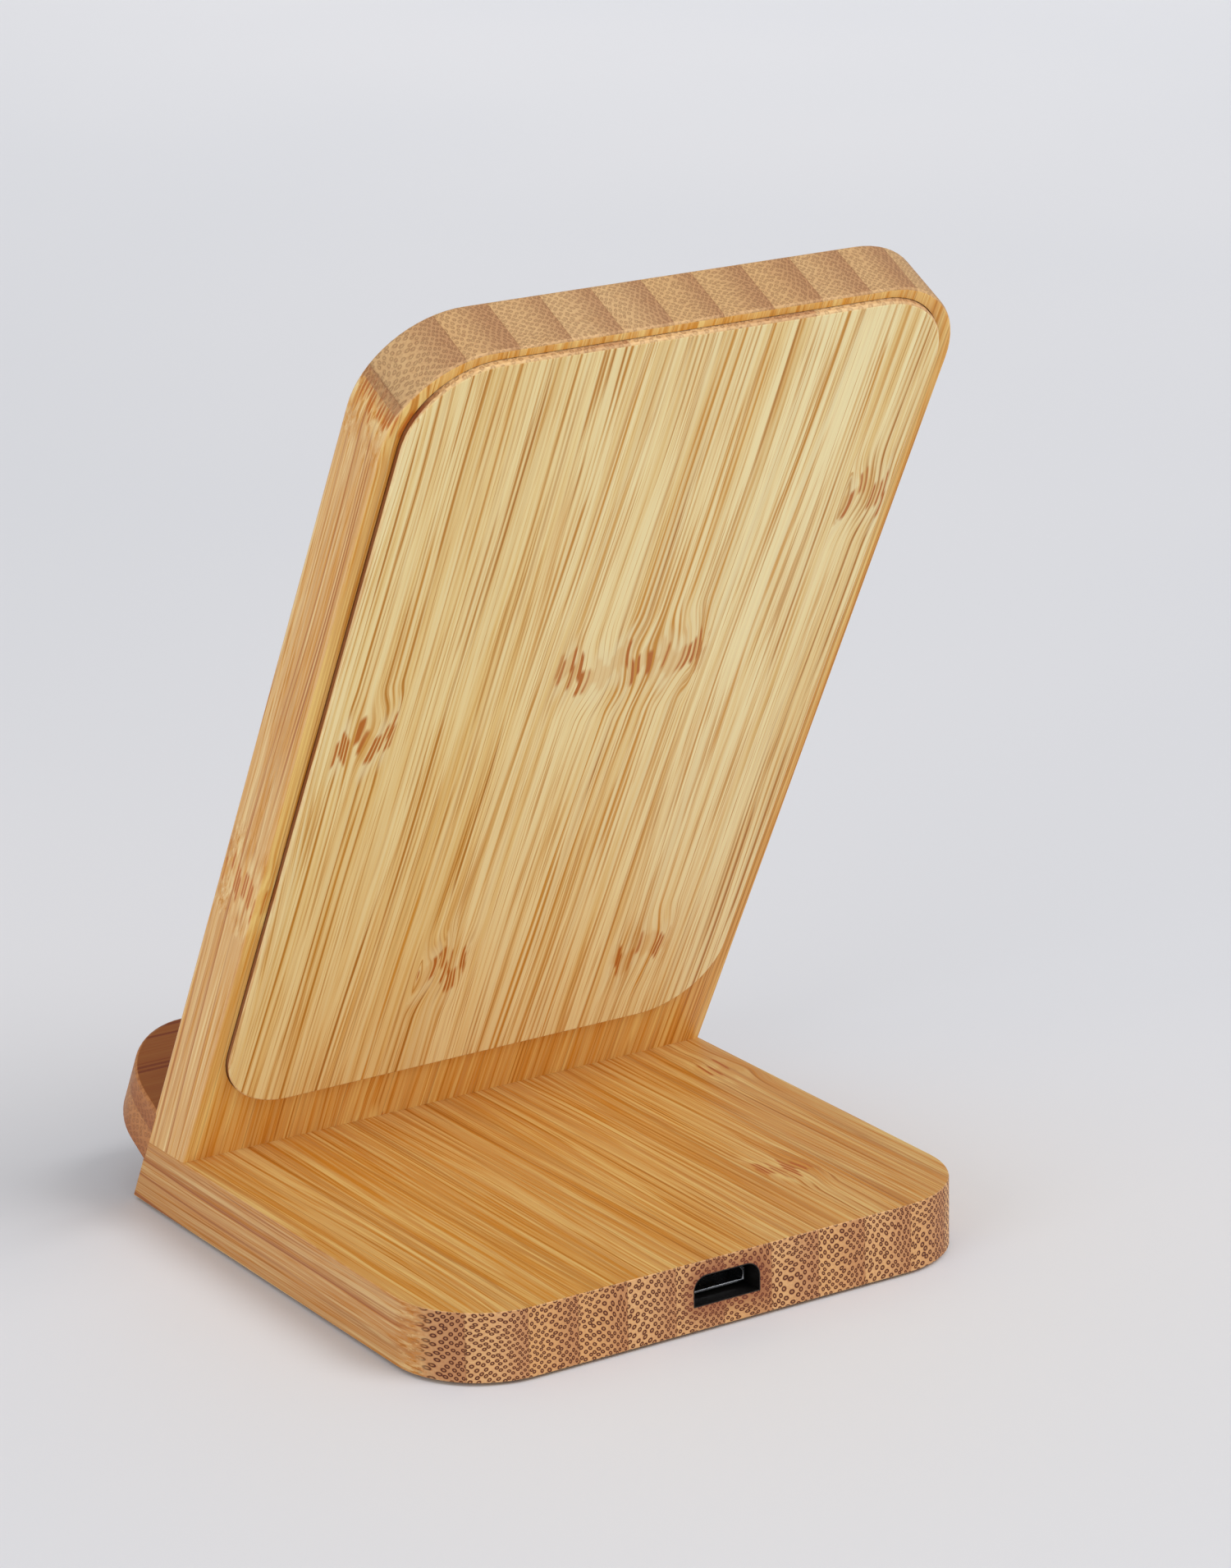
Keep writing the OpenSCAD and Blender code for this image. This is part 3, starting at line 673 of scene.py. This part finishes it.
def circuit_board():
    """Green solder mask over copper tracks, with tinned pads."""
    g, spot, base, roughness = grainy("circuit_board", Matrix(), colour(12, 74, 42), colour(18, 92, 52),
                                      (6.0, 6.0, 6.0), 0.01, 0.35)
    x, y, _ = g.split(spot)
    flat = g.join(x, y)
    inputs = {"Vector": flat, "Scale": 0.45, "Randomness": 0.9}
    maze = g.node("TexVoronoi", inputs, voronoi_dimensions="2D", distance="MANHATTAN").outputs["Distance"]
    track = g.step(g.apart(g.math("FRACT", g.times(maze, 2.2)), 0.5), 0.2, 0.12)
    base = g.mix(track, base, colour(34, 128, 74))
    inputs = {"Vector": flat, "Scale": 0.8, "Randomness": 0.0}
    pads = g.node("TexVoronoi", inputs, voronoi_dimensions="2D").outputs
    chosen = g.step(g.chances(pads["Color"])[0], 0.86, 0.88)
    base = g.tint(base, colour(196, 198, 200), g.step(pads["Distance"], 0.32, 0.28), chosen)
    return g.finish(base, roughness)


def chip_black():
    """Moulded epoxy with tinned legs low on its sides."""
    g, spot, base, roughness = grainy("chip_black", Matrix(), colour(22, 22, 24), colour(36, 36, 38),
                                      (7.0, 7.0, 7.0), 0.01, 0.55)
    x, y, z = g.split(spot)
    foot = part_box("controller_chip")[0].z / MM
    beside = g.step(g.math("ABSOLUTE", g.facing(Matrix(), (0, 0, 1))), 0.5, 0.3)
    low = g.step(z, foot + 0.45, foot + 0.4)
    leg = g.step(g.apart(g.math("FRACT", g.times(g.plus(x, y), 1.6)), 0.5), 0.28, 0.24)
    tin = g.times(beside, low, leg)
    g.put(g.shader.inputs["Metallic"], tin)
    return g.finish(g.mix(tin, base, colour(190, 192, 194)), roughness)


def ceramic(name, node, axis, length, bare):
    """Fired ceramic with tinned ends, for pieces in one row or in two rows at the ends of the node's box.

    The pieces have this length along an axis, in millimetres, and are bare so far from their own middles.
    """
    g, spot, base, roughness = grainy(name, Matrix(), colour(168, 136, 94), colour(190, 160, 116),
                                      (5.0, 5.0, 5.0), 0.01, 0.4)
    low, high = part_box(node)
    from_middle = g.apart(g.split(spot)[axis], (low[axis] + high[axis]) / 2 / MM)
    away = g.apart(from_middle, (high[axis] - low[axis]) / 2 / MM - length / 2)
    tin = g.step(away, bare - 0.02, bare + 0.02)
    g.put(g.shader.inputs["Metallic"], tin)
    return g.finish(g.mix(tin, base, colour(192, 194, 196)), roughness)


def ferrite():
    """Dark fired ferrite, finely pitted."""
    g, _, base, roughness = grainy("ferrite", Matrix(), colour(38, 38, 41), colour(62, 61, 62),
                                   (2.5, 2.5, 2.5), 0.02, 0.7)
    return g.finish(base, roughness)


def foam():
    """White open-cell foam."""
    g, spot, base, roughness = grainy("foam", ON_BACK, colour(206, 204, 196), colour(232, 230, 224),
                                      (2.0, 2.0, 2.0), 0, 0.95)
    cells = g.node("TexVoronoi", {"Vector": spot, "Scale": 1.6}).outputs["Distance"]
    g.bump(cells, 0.15 * MM)
    return g.finish(g.tint(base, colour(150, 148, 140), g.step(cells, 0.35, 0.1), 0.5), roughness)


def copper():
    """Enamelled wire of many twisted strands."""
    g, spot, base, roughness = grainy("copper", ON_BACK, colour(158, 78, 34), colour(206, 118, 62),
                                      (3.0, 3.0, 3.0), 0, 0.32)
    x, y, z = g.split(spot)
    twist = g.math("SINE", g.times(g.plus(x, y, g.times(z, 1.5)), 9.0))
    g.bump(twist, 0.03 * MM)
    base = g.tint(base, colour(112, 50, 22), g.step(twist, 0.2, -0.6), 0.5)
    return g.finish(base, roughness, Metallic=0.85, Coat_Weight=0.5)


def dowel_wood():
    """Beech with short darker flecks along its length."""
    g, spot, base, roughness = grainy("dowel_wood", Matrix(), colour(198, 160, 112), colour(222, 188, 142),
                                      (2.0, 0.3, 0.3), 0.02, 0.6)
    fleck = g.noise(g.stretched(spot, 5.0, 0.8, 0.8), 1.0)["Fac"]
    return g.finish(g.tint(base, colour(150, 102, 62), g.step(fleck, 0.62, 0.7), 0.6), roughness)


# ---- Small parts --------------------------------------------------------------------------------

COIL_HOLE = 10 * MM
COIL_TURNS = 9
PAD_RADIUS = 1.2 * MM
# Edges of round pieces stay smooth up to this angle, in degrees
ROUND_ANGLE = 60


def eased_copy(node, width):
    """Copy of a CAD node's solid with whole flat faces and rounded edges."""
    piece = welded_copy(node)
    piece.name = node + "_eased"
    mesh = bmesh.new()
    mesh.from_mesh(piece.data)
    bmesh.ops.dissolve_limit(mesh, angle_limit=math.radians(1), verts=mesh.verts, edges=mesh.edges)
    mesh.to_mesh(piece.data)
    mesh.free()
    rounding = piece.modifiers.new("rounding", "BEVEL")
    rounding.width = width
    rounding.segments = 2
    rounding.limit_method = "ANGLE"
    rounding.angle_limit = math.radians(40)
    return piece


def turn_of_wire(radius, tube, centre):
    """Closed mesh of one round turn of wire, given by the radii of the turn and of the wire."""
    around, across = 96, 12
    mesh = bmesh.new()
    rings = []
    for i in range(around):
        a = 2 * math.pi * i / around
        ring = []
        for j in range(across):
            b = 2 * math.pi * j / across
            out = radius + tube * math.cos(b)
            point = Vector((out * math.cos(a), out * math.sin(a), tube * math.sin(b)))
            ring.append(mesh.verts.new(centre + point))
        rings.append(ring)
    for i in range(around):
        for j in range(across):
            k, m = (i + 1) % around, (j + 1) % across
            mesh.faces.new((rings[i][j], rings[k][j], rings[k][m], rings[i][m]))
    return mesh


def coil(node, material):
    """Flat coil: turns of wire side by side, from the hole in its middle to its rim."""
    low, high = box_in(node, ON_BACK)
    pitch = ((high.x - low.x) / 2 - COIL_HOLE) / COIL_TURNS
    wire = pitch / 2 * 0.98
    centre = (low + high) / 2
    turns = [turn_of_wire(COIL_HOLE + pitch * (i + 0.5), wire, centre) for i in range(COIL_TURNS)]
    piece = as_object(joined(turns), node + "_turns", ON_BACK)
    finish_piece(piece, node, material, ROUND_ANGLE)


def foam_pad(node, material):
    """Foam sheet squeezed behind a ferrite sheet, so its rim bulges a little."""
    low, high = box_in(node, ON_BACK)
    outline = inset_rectangle(low.x, high.x, low.y, high.y, [PAD_RADIUS] * 4)
    ease = (high.z - low.z) * 0.45
    piece = as_object(loft(eased_rings(outline, low.z, high.z, ease, ease)), node + "_rounded", ON_BACK)
    finish_piece(piece, node, material, ROUND_ANGLE)


def small_parts():
    """The parts that aren't wood, and the dowels: most keep their CAD shape, with eased edges."""
    steel = metal("steel", colour(150, 152, 156), colour(192, 194, 198), (1.0, 6.0, 6.0), 0.34)
    chip = chip_black()
    dark_ferrite = ferrite()
    enamelled = copper()
    white_foam = foam()
    beech = dowel_wood()
    # plating set darker than its own colour: painted shade for the unlit inside of the socket shell
    plated = metal("socket_metal", colour(128, 130, 134), colour(168, 170, 174), (5.0, 0.6, 5.0), 0.26)
    gold = metal("gold_contacts", colour(192, 148, 66), colour(222, 180, 96), (6.0, 0.6, 6.0), 0.24)
    large_ceramic = ceramic("ceramic_large", "resonant_capacitors", 1, 3.2, 1.15)
    small_ceramic = ceramic("ceramic_small", "small_capacitors", 0, 1.3, 0.4)
    parts = [
        ("bottom_cover", "black_plastic", moulded_black(), 0.3),
        ("backrest_dowels", "dowel_wood", beech, 0.4),
        ("ledge_dowels", "dowel_wood", beech, 0.4),
        ("bottom_cover_screws", "steel", steel, 0.05),
        ("board_screws", "steel", steel, 0.05),
        ("rubber_feet", "rubber", rubber(), 0.2),
        ("control_board", "circuit_board", circuit_board(), 0.06),
        ("socket_shell", "socket_metal", plated, 0.08),
        ("socket_tongue", "socket_plastic", socket_plastic(), 0.06),
        ("socket_contacts", "gold_contacts", gold, 0.03),
        ("controller_chip", "chip_black", chip, 0.08),
        ("power_transistors", "chip_black", chip, 0.12),
        ("resonant_capacitors", "ceramic", large_ceramic, 0.12),
        ("small_capacitors", "ceramic", small_ceramic, 0.06),
        ("power_inductor", "ferrite", dark_ferrite, 0.4),
        ("lower_ferrite", "ferrite", dark_ferrite, 0.1),
        ("upper_ferrite", "ferrite", dark_ferrite, 0.1),
    ]
    for node, slot, material, width in parts:
        finish_piece(eased_copy(node, width * MM), node, material)
    for node in ("lower_coil", "upper_coil"):
        coil(node, enamelled)
    for node in ("lower_foam_pad", "upper_foam_pad"):
        foam_pad(node, white_foam)
    for node in ("lower_coil_leads", "upper_coil_leads"):
        NODES[node].data.materials.clear()
        NODES[node].data.materials.append(enamelled)


small_parts()

# ---- Floor, light and camera --------------------------------------------------------------------


def floor():
    """Large pale floor, a little uneven in tone."""
    half, corner, thick, ease = 4, 0.5, 0.02, 0.004
    rings = eased_rings(inset_rectangle(-half, half, -half, half, [corner] * 4), -thick, 0, ease, ease)
    ground = as_object(loft(rings), "floor")
    g = Graph("pale_floor")
    spot = g.node("TexCoord").outputs["Object"]
    cloud = g.noise(g.stretched(spot, 3.0, 3.0, 3.0))["Fac"]
    base = g.mix(g.step(cloud, 0.3, 0.7), colour(226, 226, 230), colour(230, 229, 232))
    ground.data.materials.append(g.finish(base, g.plus(g.times(cloud, 0.1), 0.75)))


def area_light(name, place, target, size, power, spread=180):
    """Round soft light turned towards a target, with a beam as wide as its spread in degrees."""
    lamp = bpy.data.lights.new(name, "AREA")
    lamp.shape = "DISK"
    lamp.size = size
    lamp.energy = power
    lamp.spread = math.radians(spread)
    holder = bpy.data.objects.new(name, lamp)
    holder.location = place
    holder.rotation_euler = (Vector(target) - Vector(place)).to_track_quat("-Z", "Y").to_euler()
    bpy.context.scene.collection.objects.link(holder)


def studio():
    """Even pale surroundings, brighter on the camera's side, with a large soft light on its right."""
    darkest, brightest = 0.33, 0.74
    world = bpy.data.worlds.new("surroundings")
    world.use_nodes = True
    tree = world.node_tree
    direction = tree.nodes.new("ShaderNodeTexCoord")
    facing = tree.nodes.new("ShaderNodeVectorMath")
    facing.operation = "DOT_PRODUCT"
    facing.inputs[1].default_value = (0.35, 0.9, 0.25)
    strength = tree.nodes.new("ShaderNodeMapRange")
    for socket, value in zip(strength.inputs[1:5], (-1.0, 1.0, darkest, brightest)):
        socket.default_value = value
    background = tree.nodes["Background"]
    background.inputs["Color"].default_value = (0.96, 0.98, 1, 1)
    tree.links.new(direction.outputs["Generated"], facing.inputs[0])
    tree.links.new(facing.outputs["Value"], strength.inputs[0])
    tree.links.new(strength.outputs[0], background.inputs["Strength"])
    bpy.context.scene.world = world
    area_light("key", (-0.9, 1.5, 1.9), (0, 0, 0.05), 1.5, 30)
    area_light("fill", (1.4, 0.5, 0.5), (0, 0, 0.05), 1.0, 5)
    area_light("far_floor", (-0.6, -0.9, 0.8), (-0.6, -0.9, 0), 0.8, 0.85, 110)
    bpy.context.scene.view_settings.view_transform = "Standard"


def camera():
    """Long lens behind the stand, above it and on its +X side, rolled a little."""
    eye = Vector((0.2855, 0.4683, 0.222 + base_low.z))
    target = Vector((-0.0039, 0.0131, 0.0535 + base_low.z))
    lens = bpy.data.cameras.new("camera")
    lens.sensor_fit = "VERTICAL"
    lens.sensor_height = 36
    lens.lens = 118.9
    holder = bpy.data.objects.new("camera", lens)
    look = (target - eye).to_track_quat("-Z", "Y").to_matrix().to_4x4()
    roll = Matrix.Rotation(math.radians(-1.219), 4, "Z")
    holder.matrix_world = Matrix.Translation(eye) @ look @ roll
    bpy.context.scene.collection.objects.link(holder)
    bpy.context.scene.camera = holder


floor()
studio()
camera()
